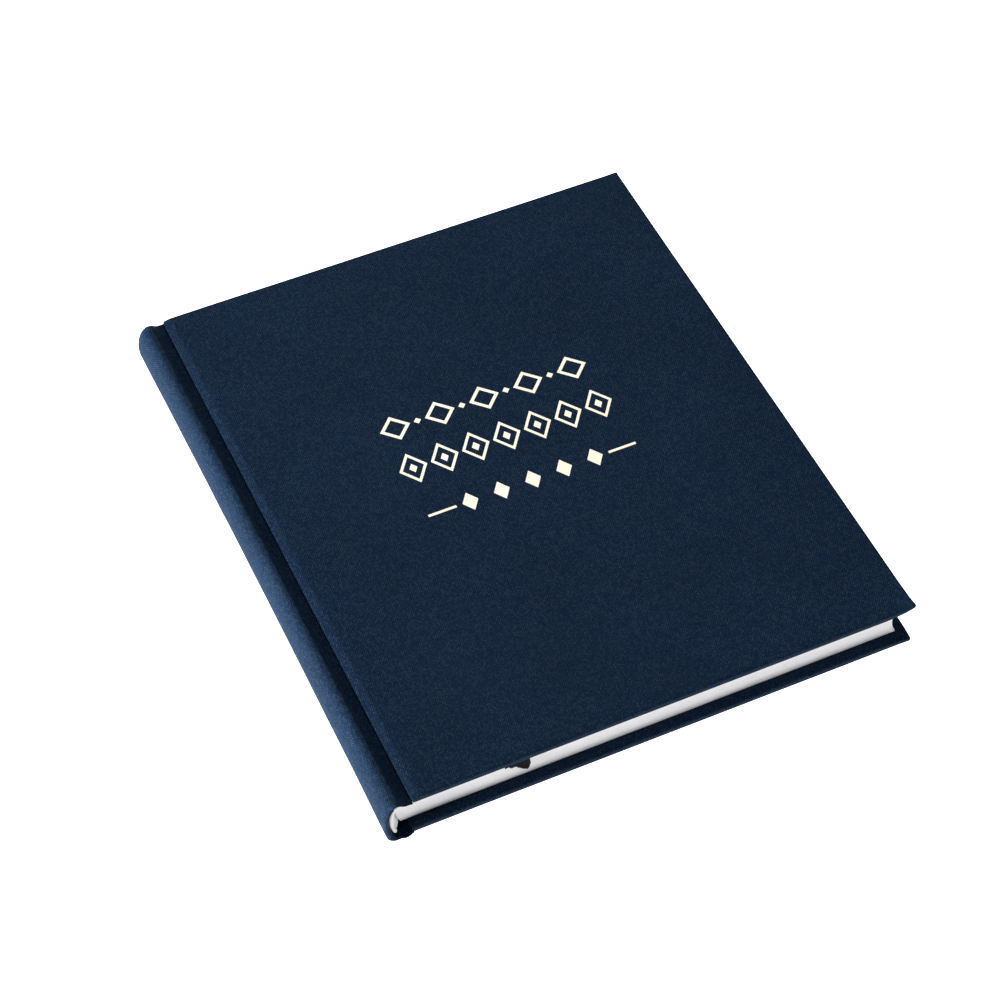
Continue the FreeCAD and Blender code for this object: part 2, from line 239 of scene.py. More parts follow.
class Plate:
    """Points on the loops of a rounded plate, with one inner and one outer flat to close it."""

    def __init__(self, front):
        self.front = front
        self.points, self.uvs, self.wear, self.faces, self.loops = [], [], [], [], []
        self.wrap, self.last, self.base = 0.0, None, {}
        width, height = FORE_X - BOARD_EDGE_X, 2 * HALF_HEIGHT
        self.us = [d / width for d in side_steps(width, 4.0, 10, 26)]
        self.vs = [d / height for d in side_steps(height, 4.0, 10, 32)]
        nx, ny = len(self.us), len(self.vs)
        self.border = (
            [(i, 0) for i in range(nx - 1)]
            + [(nx - 1, j) for j in range(ny - 1)]
            + [(i, ny - 1) for i in range(nx - 1, 0, -1)]
            + [(0, j) for j in range(ny - 1, 0, -1)]
        )

    def add(self, i, j, inset, spine_inset, z, worn=0.0):
        """The lattice point i, j of the plate's outline shrunk by the insets, at height z."""
        spine_corner = SPINE_CORNER if self.front else SQUARE_CORNER
        x, y = plate_point(
            self.us[i], self.vs[j], BOARD_EDGE_X + spine_inset, FORE_X - inset, HALF_HEIGHT - inset,
            max(spine_corner - spine_inset, LEAST_CORNER), max(FORE_CORNER - inset, LEAST_CORNER),
        )
        gripped, pressed = GRIPPED, PRESSED
        if not self.front:
            gripped *= 1 - smoothstep(FADE_START, GRIP_FADE_END, abs(y))
            pressed *= 1 - smoothstep(FADE_START, FADE_END, abs(y))
        if i == 0:
            x += gripped * min(1.0, max(0.0, (THICKNESS - z) / GRIP_HEIGHT))
        from_spine = min(1.0, max(0.0, (x - BOARD_EDGE_X) / PRESSED_WIDTH))
        z = INNER_Z + (z - INNER_Z) * (1 - pressed * (1 - from_spine) ** 1.1)
        from_ornament = max(abs(x - SPINE_X - ORNAMENT_D), abs(y - ORNAMENT_Y) * 1.6)
        uneven = wander(x, y, 0, UNEVEN_SPAN, UNEVEN)
        z += uneven * smoothstep(44, 62, from_ornament) * smoothstep(INNER_Z, THICKNESS, z)
        under = (THICKNESS - z) / COVER
        from_corner = math.hypot(x - FORE_X, abs(y) - HALF_HEIGHT)
        corner = max(0.0, 1 - from_corner / CORNER_REACH) ** 1.5
        raised = CORNER_LIFT if self.front and y < 0 else 0.0
        z += (raised + CORNER_PINCH * under) * corner
        self.points.append((x, y, z if self.front else THICKNESS - z))
        across = -1 if i == 0 else (1 if i == len(self.us) - 1 else 0)
        along = -1 if j == 0 else (1 if j == len(self.vs) - 1 else 0)
        if self.wrap == 0.0:
            self.base[i, j] = (x, y)
        self.uvs.append((
            self.base[i, j][0] + across * self.wrap if across else x,
            self.base[i, j][1] + along * self.wrap if along else y,
        ))
        self.wear.append(worn)

    def flat(self, inset, spine_inset, z, outward):
        """A whole flat face; its border joins the loops."""
        first, nx, ny = len(self.points), len(self.us), len(self.vs)
        for j in range(ny):
            for i in range(nx):
                self.add(i, j, inset, spine_inset, z)
        self.faces += lattice(ny, nx, first=first, flip=not outward)
        self.loops.append([first + j * nx + i for i, j in self.border])

    def loop(self, inset, spine_inset, z, worn=0.0, mitre=0.0):
        """One loop round the plate; mitre lowers the two fore corners."""
        first, last = len(self.points), len(self.us) - 1
        if self.last:
            self.wrap += math.hypot(inset - self.last[0], z - self.last[1])
        self.last = (inset, z)
        for i, j in self.border:
            at_spine = spine_inset if self.us[i] <= 0 else inset
            lowered = mitre if i == last and j in (0, len(self.vs) - 1) else 0.0
            self.add(i, j, inset, at_spine if i == 0 else spine_inset, z - lowered, worn)
        self.loops.append(list(range(first, len(self.points))))

    def rounded(self, inset, radius, spine_radius, z, over, turns, worn=0.0):
        """Loops round an edge; over is 1 for an outer (upper) edge and -1 for an inner one."""
        for turn in turns:
            angle = turn * math.pi / 2
            self.loop(
                inset + radius * (1 - math.sin(angle)),
                inset + spine_radius * (1 - math.sin(angle)),
                z - over * radius * (1 - math.cos(angle)),
                worn * math.sin(math.pi * min(turn, 0.9)),
            )

    def piece(self, name):
        for a, b in zip(self.loops, self.loops[1:]):
            for k in range(len(a)):
                m = (k + 1) % len(a)
                self.faces.append((a[m], a[k], b[k], b[m]))
        faces = self.faces if self.front else [f[::-1] for f in self.faces]
        return make_piece(name, self.points, faces, self.uvs, wear=self.wear)


def cover_shell(name, front):
    """Book cloth wrapped round a board and turned in on its inner face, as one closed skin."""
    plate = Plate(front)
    plate.flat(TOP_ROUND, SPINE_ROUND, THICKNESS, True)
    plate.rounded(0.0, TOP_ROUND, SPINE_ROUND, THICKNESS, 1, [0.17, 0.34, 0.5, 0.67, 0.84, 1.0], 0.15)
    for z in (THICKNESS - GRIP_HEIGHT, INNER_Z + 2 * UNDER_ROUND):
        plate.loop(0.0, 0.0, z, 0.25)
    plate.rounded(0.0, UNDER_ROUND, UNDER_ROUND, INNER_Z, -1, [1.0, 0.75, 0.5, 0.25, 0.0], 0.5)
    for span in (1.0, 2.5, 5.0, 8.0, 11.5, TURN_IN):
        plate.loop(span, min(span, TURN_IN_AT_SPINE), INNER_Z, 0.0, MITRE if span < MARGIN_SEEN else 0.0)
    board_z = INNER_Z + CLOTH
    for span in (TURN_IN, 8.0, 1.0):
        plate.loop(span, min(span, TURN_IN_AT_SPINE), board_z)
    plate.rounded(CLOTH, BOARD_ROUND, BOARD_ROUND, board_z, -1, [0.0, 0.5, 1.0])
    spine_round = max(SPINE_ROUND - CLOTH, LEAST_ROUND)
    plate.rounded(CLOTH, TOP_ROUND - CLOTH, spine_round, THICKNESS - CLOTH, 1, [1.0, 0.67, 0.34])
    plate.flat(TOP_ROUND, SPINE_ROUND, THICKNESS - CLOTH, False)
    return plate.piece(name)


def board_core(name, front):
    """The greyboard that fills the cloth's hollow."""
    gap = CLOTH + BOARD_GAP
    under_z = INNER_Z + gap
    spine_round = max(SPINE_ROUND - gap, LEAST_ROUND)
    plate = Plate(front)
    plate.flat(TOP_ROUND, SPINE_ROUND, THICKNESS - gap, True)
    plate.rounded(gap, TOP_ROUND - gap, spine_round, THICKNESS - gap, 1, [0.34, 0.67, 1.0])
    plate.rounded(gap, BOARD_ROUND, BOARD_ROUND, under_z, -1, [1.0, 0.5])
    plate.flat(gap + BOARD_ROUND, gap + BOARD_ROUND, under_z, False)
    return plate.piece(name)


# ---------------------------------------------------------------- spine and joints

def spine_bulge(y):
    """How far the spine's cloth stands out of its section, more at the head than at the tail."""
    return (BULGE_AT_HEAD if y > 0 else BULGE_AT_TAIL) * (y / BULGE_SPAN) ** 2 - FLATTER_MIDDLE


def case_profile():
    """The half spine and the joint in section, (d, height): an ellipse, then a smooth curve."""
    curve = []
    for step in range(31):
        angle = math.pi / 2 * step / 30
        curve.append((SPINE_DEPTH * (1 - math.cos(angle)), MID_Z + SPINE_RISE * math.sin(angle)))
    knots = [
        (SPINE_DEPTH, MID_Z + SPINE_RISE), (4.7, THICKNESS - 0.50), (5.4, THICKNESS - 0.82),
        (6.0, THICKNESS - 1.25), (6.6, THICKNESS - 1.55), (7.3, THICKNESS - 1.64), (8.9, THICKNESS - 1.66),
    ]
    before = [curve[-4]] + knots + [(10.2, THICKNESS - 1.68)]
    for k in range(1, len(before) - 2):
        p0, p1, p2, p3 = before[k - 1:k + 3]
        if k == 1:
            p0 = (p1[0] - 0.9, p1[1])
        for step in range(1, 6):
            t = step / 5
            point = []
            for c in (0, 1):
                point.append(0.5 * (
                    2 * p1[c] + (p2[c] - p0[c]) * t
                    + (2 * p0[c] - 5 * p1[c] + 4 * p2[c] - p3[c]) * t * t
                    + (3 * p1[c] - p0[c] - 3 * p2[c] + p3[c]) * t ** 3
                ))
            curve.append(tuple(point))
    return curve


def profile_normals(curve):
    """Outward unit normals of the section, and the arc length along it."""
    normals, length, lengths = [], 0.0, []
    for k in range(len(curve)):
        a = curve[max(k - 1, 0)]
        b = curve[min(k + 1, len(curve) - 1)]
        tx, tz = b[0] - a[0], b[1] - a[1]
        size = math.hypot(tx, tz)
        normals.append((-tz / size, tx / size))
        if k:
            length += math.hypot(curve[k][0] - curve[k - 1][0], curve[k][1] - curve[k - 1][1])
        lengths.append(length)
    normals[0] = (-1.0, 0.0)
    return normals, lengths


def case_half(name, front):
    """Cloth from the middle of the spine over the joint to the board, turned in at both ends."""
    curve = case_profile()
    normals, lengths = profile_normals(curve)
    ys = [-LIP_Y + 2 * LIP_Y * k / 60 for k in range(61)]
    points, uvs, wear = [], [], []
    columns = 2 * len(ys) + 2 * (LIP_STEPS - 1)

    def thick_at(d, y):
        """Cloth alone along the book, doubled over the inlay or joint near the ends."""
        lapped = smoothstep(TURNED_FROM_Y - 0.5, TURNED_FROM_Y + 0.5, abs(y))
        full = TURNED_CLOTH - TURNED_CLOTH_THINNER * smoothstep(3.5, 6, d)
        cap = LIP_EXTRA * smoothstep(97.6, 98.8, abs(y)) * (1 - smoothstep(1.8, 3.4, d))
        return SINGLE_CLOTH + (full - SINGLE_CLOTH) * lapped + cap

    def put(k, y, depth, worn):
        """A point of the section at y; depth is how far under the cloth's outside it lies."""
        d, z = curve[k]
        nx, nz = normals[k]
        loose = 1 - smoothstep(7.6, 8.3, d)
        waver = (wander(0, y, 3, 22, 0.09) + wander(d * 2, y, 9, 7, 0.03)) * loose
        waver += spine_bulge(y) * (1 - smoothstep(*BULGE_D, d))
        tail_shift = TAIL_SHIFT
        if not front:
            z += BACK_GROOVE_FILL * smoothstep(*GROOVE_D, d) * smoothstep(FADE_START, FADE_END, abs(y))
            flank = smoothstep(0.3, 1.6, d) * (1 - smoothstep(2.0, 3.8, d))
            waver += BACK_TAIL_BULGE * smoothstep(40, 98, -y) * flank
            tail_shift += BACK_TAIL_SHIFT * smoothstep(0.3, 1.8, d) * (1 - smoothstep(6.8, 8.9, d))
        if y < -TAIL_SHIFT_FROM_Y:
            y -= smoothstep(TAIL_SHIFT_FROM_Y, LIP_Y, -y) * tail_shift
        x = SPINE_X + d + nx * (waver - depth)
        z += nz * (waver - depth)
        points.append((x, y, z if front else THICKNESS - z))
        uvs.append((lengths[k], y))
        wear.append(worn)

    for k in range(len(curve)):
        d = curve[k][0]
        full = thick_at(d, 100)
        ridge = math.exp(-((d - 4.4) / 1.0) ** 2)
        for y in ys:
            put(k, y, 0.0, 0.55 * ridge + 0.4 * smoothstep(97, LIP_Y, abs(y)))
        for s in range(1, LIP_STEPS):
            angle = math.pi * s / LIP_STEPS
            put(k, LIP_Y + LIP_REACH * math.sin(angle), full * (1 - math.cos(angle)) / 2, 0.8)
        for y in reversed(ys):
            put(k, y, thick_at(d, y), 0.0)
        for s in range(1, LIP_STEPS):
            angle = math.pi * s / LIP_STEPS
            put(k, -LIP_Y - LIP_REACH * math.sin(angle), full * (1 + math.cos(angle)) / 2, 0.8)
    faces = lattice(len(curve), columns, loop_columns=True, flip=True)
    faces.append(tuple(range(columns)))
    last = (len(curve) - 1) * columns
    faces.append(tuple(range(last + columns - 1, last - 1, -1)))
    if not front:
        faces = [f[::-1] for f in faces]
    piece = make_piece(name, points, faces, uvs, wear=wear)
    for polygon in list(piece.data.polygons)[-2:]:
        polygon.use_smooth = False
    return piece


def spine_card(name):
    """The stiff card behind the spine's cloth."""
    curve = [c for c in case_profile() if c[0] <= CARD_END]
    half = list(zip(curve, *profile_normals(curve)))
    points, uvs = [], []
    ys = [-CARD_HALF + 2 * CARD_HALF * k / 40 for k in range(41)]
    section = [(c[0], c[1], n[0], n[1], l) for c, n, l in reversed(half)]
    section += [(c[0], THICKNESS - c[1], n[0], -n[1], -l) for c, n, l in half[1:]]
    for depth in (CARD_OUTER, CARD_INNER):
        for d, z, nx, nz, l in section:
            for y in ys:
                out = spine_bulge(y) * (1 - smoothstep(*BULGE_D, d)) - depth
                points.append((SPINE_X + d + nx * out, y, z + nz * out))
                uvs.append((l, y))
    rows, columns = len(section), len(ys)
    faces = lattice(rows, columns, flip=True) + lattice(rows, columns, first=rows * columns)
    return make_piece(name, points, faces + rim_quads(rows, columns), uvs)


def joint_paper(name, front):
    """The endpaper across the inside of the joint, from the fold to the board."""
    points, uvs = [], []
    half = BLOCK_HALF - 0.6
    ys = [-half + 2 * half * k / 40 for k in range(41)]
    ds = [PAPER_START + (PAPER_END - PAPER_START) * k / 20 for k in range(21)]
    for depth in (0.0, PAPER):
        for d in ds:
            sag = 0.10 * math.sin(math.pi * (d - PAPER_START) / (PAPER_END - PAPER_START))
            z = INNER_Z - PAPER + sag + depth
            for y in ys:
                points.append((SPINE_X + d, y, z if front else THICKNESS - z))
                uvs.append((d, y))
    rows, columns = len(ds), len(ys)
    faces = lattice(rows, columns) + lattice(rows, columns, first=rows * columns, flip=True)
    faces += rim_quads(rows, columns, flip=True)
    if not front:
        faces = [f[::-1] for f in faces]
    return make_piece(name, points, faces, uvs)


# ---------------------------------------------------------------- pages

def folded_sheet(z_mid, nest, fold_x, points, faces, number):
    """One folded sheet: two leaves joined by a round fold, nested inside `nest` others."""
    outer = LEAF * (SHEETS - nest)
    inner = outer - LEAF
    bend = 10
    fore = fold_x + LEAF_WIDTH - SIGNATURE / 2
    section = []
    jitter = [wander(number * 3.1, nest * 1.7, s, 1, 0.05) for s in (0, 1)]
    soft = 0.012
    section.append((fore + jitter[0] - soft, outer))
    for s in range(bend + 1):
        angle = math.pi / 2 + math.pi * s / bend
        section.append((fold_x + outer * math.cos(angle), outer * math.sin(angle)))
    section.append((fore + jitter[1] - soft, -outer))
    section.append((fore + jitter[1], -outer + soft))
    section.append((fore + jitter[1], -inner - soft if inner > 0 else -0.004))
    section.append((fore + jitter[1] - soft, -inner if inner > 0 else -0.002))
    if inner > 0:
        for s in range(bend + 1):
            angle = 3 * math.pi / 2 - math.pi * s / bend
            section.append((fold_x + inner * math.cos(angle), inner * math.sin(angle)))
    else:
        section.append((fold_x, 0.0))
    section.append((fore + jitter[0] - soft, inner if inner > 0 else 0.002))
    section.append((fore + jitter[0], inner + soft if inner > 0 else 0.004))
    section.append((fore + jitter[0], outer - soft))
    n = len(section)
    trim = wander(number * 2.3, nest * 5.1, 4, 1, 0.05)
    ends = [
        (-BLOCK_HALF + trim, soft), (-BLOCK_HALF + trim + soft, 0.0),
        (BLOCK_HALF + trim - soft, 0.0), (BLOCK_HALF + trim, soft),
    ]
    first = len(points)
    for y, pinch in ends:
        for x, dz in section:
            middle = 0.5 * (outer + inner) * (1 if dz > 0 else -1)
            away = dz - middle
            squeeze = 1 - pinch / (0.5 * LEAF)
            points.append((x, y, z_mid + (middle + away * squeeze if x > fold_x else dz)))
    for r in range(len(ends) - 1):
        for k in range(n):
            m = (k + 1) % n
            a, b = first + r * n + k, first + r * n + m
            faces.append((a, b, b + n, a + n))
    tail = list(range(first, first + n))
    head = list(range(first + 3 * n, first + 4 * n))
    faces.append(tuple(reversed(tail)))
    faces.append(tuple(head))


def signature_piece(number):
    """A gathering: four sheets folded together, each a real leaf thick."""
    points, faces = [], []
    z_mid = BLOCK_BOTTOM + (number - 1) * PITCH + SIGNATURE / 2
    fold_x = back_arc_x(z_mid, BACK_RADIUS - SIGNATURE / 2)
    for nest in range(SHEETS):
        folded_sheet(z_mid, nest, fold_x, points, faces, number)
    return make_piece("leaves_%02d" % number, points, faces, smooth=False)


# ---------------------------------------------------------------- bands and ribbon

def band_piece(name, side):
    """A woven band: a ribbed bead level with the case's end, on a web that leans out from the back."""
    points, uvs = [], []
    low_z, high_z = 3.4, THICKNESS - 2.7
    steps = 130
    web = [(0.30, 90.3), (0.30, 95.9), (0.85, 97.0), (1.55, 97.9), (2.0, 98.3)]
    bead, bead_offset, bead_y = 0.62, 2.30, 99.0
    around = []
    for offset, y in web:
        around.append((offset, y, 0.0))
    for s in range(1, 16):
        angle = math.radians(205 - 300 * s / 16)
        around.append((bead_offset + bead * math.cos(angle), bead_y + bead * 1.35 * math.sin(angle), 1.0))
    for offset, y in reversed(web):
        around.append((max(offset - 0.24, 0.05), y + (0.12 if y > 96 else 0.0), 0.0))
    around.reverse()
    for k in range(steps + 1):
        z = low_z + (high_z - low_z) * k / steps
        end = min(min(k, steps - k) / 3.0, 1.0)
        shrink = 0.25 + 0.75 * math.sqrt(max(0.0, 1 - (1 - end) ** 2))
        rib = 1 + 0.06 * math.cos(2 * math.pi * z / 0.55)
        run = 0.0
        for q, (offset, y, on_bead) in enumerate(around):
            size = rib * shrink if on_bead else 1.0
            offset = bead_offset + (offset - bead_offset) * size if on_bead else offset
            y = bead_y + (y - bead_y) * size if on_bead else y
            radius = BACK_RADIUS + offset
            rise = (z - MID_Z) * (1 + 0.6 * offset / BACK_RADIUS)
            x = BACK_CENTRE_X - math.sqrt(radius ** 2 - rise ** 2)
            points.append((x + wander(z, y, 2, 3, 0.04), side * y, MID_Z + rise))
            uvs.append((z, y + offset))
    columns = len(around)
    faces = lattice(steps + 1, columns, loop_columns=True, flip=side < 0)
    bottom = tuple(range(columns))
    top = tuple(range(steps * columns, (steps + 1) * columns))
    faces.append(bottom if side < 0 else bottom[::-1])
    faces.append(top[::-1] if side < 0 else top)
    return make_piece(name, points, faces, uvs)


def hang(s):
    """How far the ribbon's cut tip hangs at s (-1 to 1) across it."""
    for (s0, h0), (s1, h1) in zip(RIBBON_TIP, RIBBON_TIP[1:]):
        if s <= s1:
            return h0 + (h1 - h0) * smoothstep(s0, s1, s)
    return RIBBON_TIP[-1][1]


def ribbon_piece():
    """The marker: laid down the page from the head, its cut tip hanging over the tail edge."""
    head = (SPINE_X + RIBBON_HEAD_D, BLOCK_HALF - 0.1)
    tail = (SPINE_X + RIBBON_TAIL_D, -BLOCK_HALF - 0.30)
    length = math.hypot(tail[0] - head[0], tail[1] - head[1])
    laid, bent, across = 60, 18, 15
    points, uvs = [], []
    for face in (1, -1):
        for k in range(laid + bent + 1):
            t = min(k / laid, 1.0)
            sway = 1.3 * math.sin(math.pi * t) * math.sin(2.2 * t)
            x = head[0] + (tail[0] - head[0]) * t + sway
            y = head[1] + (tail[1] - head[1]) * t
            over = max(0.0, (k - laid) / bent)
            turn = min(1.0, over * 5.0) * math.pi / 2
            for c in range(across):
                s = -1 + 2 * c / (across - 1)
                fall = hang(s) * max(0.0, over - 0.2) / 0.8 + RIBBON_BEND * (1 - math.cos(turn))
                out = RIBBON_BEND * math.sin(turn) + over * (0.35 + 0.30 * math.sin(2.6 * s + 0.4))
                px = x + s * RIBBON_HALF + 0.9 * over * (1 - 0.25 * s)
                py = y - out - face * RIBBON_HALF_THICK * math.sin(turn)
                pz = RIBBON_Z - fall + face * RIBBON_HALF_THICK * math.cos(turn)
                points.append((px, py, pz))
                uvs.append((s * RIBBON_HALF, t * length + fall))
    rows = laid + bent + 1
    faces = lattice(rows, across, flip=True) + lattice(rows, across, first=rows * across)
    return make_piece("ribbon", points, faces + rim_quads(rows, across), uvs)


# ---------------------------------------------------------------- materials

class Nodes:
    """Short calls for building a node tree."""

    def __init__(self, name):
        self.material = bpy.data.materials.new(name)
        self.material.use_nodes = True
        self.tree = self.material.node_tree
        self.tree.nodes.clear()

    def add(self, kind, inputs=None, **settings):
        node = self.tree.nodes.new(kind)
        for key, value in settings.items():
            setattr(node, key, value)
        for key, value in (inputs or {}).items():
            socket = node.inputs[key]
            if isinstance(value, bpy.types.NodeSocket):
                self.tree.links.new(value, socket)
            else:
                socket.default_value = value
        return node

    def math(self, operation, a, b=0.0, c=0.0):
        inputs = {0: a, 1: b}
        if operation == "MULTIPLY_ADD":
            inputs[2] = c
        if operation in ("SINE", "ABSOLUTE", "SQRT", "FLOOR"):
            inputs = {0: a}
        return self.add("ShaderNodeMath", inputs, operation=operation).outputs[0]

    def mix(self, factor, a, b, blend="MIX"):
        node = self.add("ShaderNodeMix", data_type="RGBA", blend_type=blend)
        for socket, value in ((node.inputs[0], factor), (node.inputs[6], a), (node.inputs[7], b)):
            if isinstance(value, bpy.types.NodeSocket):
                self.tree.links.new(value, socket)
            elif isinstance(value, tuple):
                socket.default_value = (*value, 1.0)[:4]
            else:
                socket.default_value = value
        return node.outputs[2]

    def noise(self, vector, scale, detail=3.0, roughness=0.5):
        node = self.add(
            "ShaderNodeTexNoise",
            {"Vector": vector, "Scale": scale, "Detail": detail, "Roughness": roughness},
        )
        return node.outputs["Fac"]

    def scaled(self, vector, scale):
        return self.add("ShaderNodeMapping", {"Vector": vector, "Scale": scale}).outputs[0]

    def ramp(self, value, low, high):
        """Stretches value so that low becomes 0 and high becomes 1, clamped."""
        node = self.add(
            "ShaderNodeMapRange", {"Value": value, "From Min": low, "From Max": high}, clamp=True,
        )
        return node.outputs[0]

    def finish(self, colour, roughness, height, distance, strength=1.0, **sockets):
        shader = self.add("ShaderNodeBsdfPrincipled", {"Base Color": colour, "Roughness": roughness})
        for key, value in sockets.items():
            shader.inputs[key.replace("_", " ")].default_value = value
        if height is not None:
            bump = self.add(
                "ShaderNodeBump", {"Height": height, "Distance": distance, "Strength": strength},
            )
            self.tree.links.new(bump.outputs[0], shader.inputs["Normal"])
        out = self.add("ShaderNodeOutputMaterial")
        self.tree.links.new(shader.outputs[0], out.inputs["Surface"])
        return self.material


def plain_weave(n, vector, warp_mm, weft_mm):
    """A plain weave: its height, streaks along each thread, a value for every crossing, warp on top."""
    drift = n.noise(n.scaled(vector, (90.0, 90.0, 90.0)), 1.0, 2.0)
    split = n.add("ShaderNodeSeparateXYZ", {0: vector})
    a = n.math("MULTIPLY_ADD", split.outputs[0], 1 / (warp_mm * MM), n.math("MULTIPLY", drift, 1.6))
    b = n.math("MULTIPLY_ADD", split.outputs[1], 1 / (weft_mm * MM), n.math("MULTIPLY", drift, 1.3))
    sin_a = n.math("SINE", n.math("MULTIPLY", a, math.pi))
    sin_b = n.math("SINE", n.math("MULTIPLY", b, math.pi))
    over = n.math("GREATER_THAN", n.math("MULTIPLY", sin_a, sin_b), 0.0)
    round_a = n.math("SQRT", n.math("ABSOLUTE", sin_a))
    round_b = n.math("SQRT", n.math("ABSOLUTE", sin_b))
    warp = n.math("MULTIPLY", round_a, n.math("MULTIPLY_ADD", round_b, 0.4, 0.6))
    weft = n.math("MULTIPLY", round_b, n.math("MULTIPLY_ADD", round_a, 0.4, 0.6))
    height = n.add("ShaderNodeMix", {0: over, 2: weft, 3: warp}, data_type="FLOAT").outputs[0]
    place = n.add("ShaderNodeCombineXYZ", {0: a, 1: b}).outputs[0]
    warp_streak = n.noise(n.scaled(place, (1.0, 0.09, 1.0)), 1.0, 3.0, 0.6)
    weft_streak = n.noise(n.scaled(place, (0.09, 1.0, 1.0)), 1.0, 3.0, 0.6)
    streak = n.add(
        "ShaderNodeMix", {0: over, 2: weft_streak, 3: warp_streak}, data_type="FLOAT",
    ).outputs[0]
    cell = n.add("ShaderNodeCombineXYZ", {0: n.math("FLOOR", a), 1: n.math("FLOOR", b)}).outputs[0]
    grain = n.add("ShaderNodeTexWhiteNoise", {"Vector": cell}, noise_dimensions="2D").outputs[0]
    return height, streak, grain, over


def book_cloth():
    """Navy book cloth: pale fibres on dark thread, with painted shade in the gaps between threads, scuffed
    a little where `wear` is high.
    """
    n = Nodes("navy_book_cloth")
    vector = n.add("ShaderNodeUVMap", uv_map="weave").outputs[0]
    height, streak, grain, over = plain_weave(n, vector, WARP_PITCH, WEFT_PITCH)
    broad = n.noise(vector, 28.0, 3.0, 0.55)
    deep = (0.0008, 0.0116, 0.0372)
    fibre = (0.0210, 0.0390, 0.0630)
    light = n.ramp(streak, 0.28, 0.75)
    bright = n.math("POWER", grain, 1.8)
    bright = n.math("MULTIPLY", bright, n.math("MULTIPLY_ADD", light, 0.7, 0.35))
    colour = n.mix(bright, deep, fibre)
    # Painted shade: the cloth is darker in the low gaps between threads, where shade falls; this factor
    # also carries a warp and weft tone and a broad random tone.
    painted_shade_and_tone = n.math("MULTIPLY_ADD", height, 0.8, 0.2)
    painted_shade_and_tone = n.math("MULTIPLY", painted_shade_and_tone, n.math("MULTIPLY_ADD", over, 0.9, 0.65))
    painted_shade_and_tone = n.math("MULTIPLY", painted_shade_and_tone, n.math("MULTIPLY_ADD", broad, 0.5, 0.75))
    painted_shade_and_tone_colour = n.add("ShaderNodeCombineColor", {0: painted_shade_and_tone, 1: painted_shade_and_tone, 2: painted_shade_and_tone}).outputs[0]
    colour = n.mix(1.0, colour, painted_shade_and_tone_colour, "MULTIPLY")
    worn = n.add("ShaderNodeAttribute", attribute_name="wear").outputs["Fac"]
    scuff = n.math("MULTIPLY", worn, n.ramp(n.noise(vector, 420.0, 4.0, 0.65), 0.42, 0.75))
    colour = n.mix(n.math("MULTIPLY", scuff, 0.35), colour, (0.06, 0.11, 0.19))
    roughness = n.math("MULTIPLY_ADD", streak, 0.2, 0.68)
    return n.finish(
        colour, roughness, height, 0.00010, 0.8,
        Sheen_Weight=0.07, Sheen_Roughness=0.42, Sheen_Tint=(0.35, 0.60, 1.0, 1.0),
        Specular_IOR_Level=0.06,
    )


def page_paper(name, tint, edges):
    """Uncoated paper; along cut edges the leaves are told apart by fine streaks."""
    n = Nodes(name)
    vector = n.add("ShaderNodeTexCoord").outputs["Object"]
    fibre = n.noise(n.scaled(vector, (900.0, 900.0, 900.0)), 1.0, 4.0, 0.6)
    cloud = n.noise(vector, 45.0, 3.0)
    value = n.math("MULTIPLY_ADD", fibre, 0.05, 0.95)
    value = n.math("MULTIPLY", value, n.math("MULTIPLY_ADD", cloud, 0.05, 0.97))
    height = fibre
    if edges:
        streaks = n.noise(n.scaled(vector, (60.0, 60.0, 9000.0)), 1.0, 3.0, 0.6)
        value = n.math("MULTIPLY", value, n.math("MULTIPLY_ADD", streaks, 0.14, 0.91))
        height = streaks
    grey = n.add("ShaderNodeCombineColor", {0: value, 1: value, 2: value}).outputs[0]
    colour = n.mix(1.0, tint, grey, "MULTIPLY")
    roughness = n.math("MULTIPLY_ADD", cloud, 0.1, 0.82)
    return n.finish(colour, roughness, height, 0.00002, 0.5, Specular_IOR_Level=0.25)


def gold_foil():
    """Pale foil pressed into cloth: the weave shows through, and a few threads are missed."""
    n = Nodes("gold_foil")
    vector = n.add("ShaderNodeTexCoord").outputs["Object"]
    height = plain_weave(n, vector, WARP_PITCH, WEFT_PITCH)[0]
    missed = n.ramp(n.math("MULTIPLY", height, n.noise(vector, 900.0, 3.0, 0.6)), 0.16, 0.08)
    tone = n.noise(vector, 160.0, 3.0)
    gold = n.mix(tone, (0.90, 0.79, 0.56), (0.98, 0.92, 0.78))
    colour = n.mix(missed, gold, (0.16, 0.15, 0.13))
    roughness = n.math("MULTIPLY_ADD", n.noise(vector, 700.0, 2.0), 0.2, 0.28)
    return n.finish(colour, roughness, height, 0.00006, 0.6, Metallic=0.4)


def satin_ribbon():
    """Near-black satin: fine ribs across the ribbon and selvedges along it."""
    n = Nodes("satin_ribbon")
    vector = n.add("ShaderNodeUVMap", uv_map="weave").outputs[0]
    split = n.add("ShaderNodeSeparateXYZ", {0: vector})
    ribs = n.math("SINE", n.math("MULTIPLY", split.outputs[1], 2 * math.pi / (0.22 * MM)))
    grain = n.noise(n.scaled(vector, (5200.0, 240.0, 1.0)), 1.0, 3.0)
    edge = n.ramp(n.math("ABSOLUTE", split.outputs[0]), 0.0032, 0.0035)
    colour = n.mix(grain, (0.0020, 0.0022, 0.0030), (0.0070, 0.0075, 0.0100))
    colour = n.mix(n.math("MULTIPLY", edge, 0.5), colour, (0.011, 0.012, 0.015))
    height = n.math("MULTIPLY_ADD", grain, 0.6, n.math("MULTIPLY", ribs, 0.25))
    return n.finish(
        colour, n.math("MULTIPLY_ADD", grain, 0.2, 0.38), height, 0.00005, 0.6,
        Specular_IOR_Level=0.03,
    )


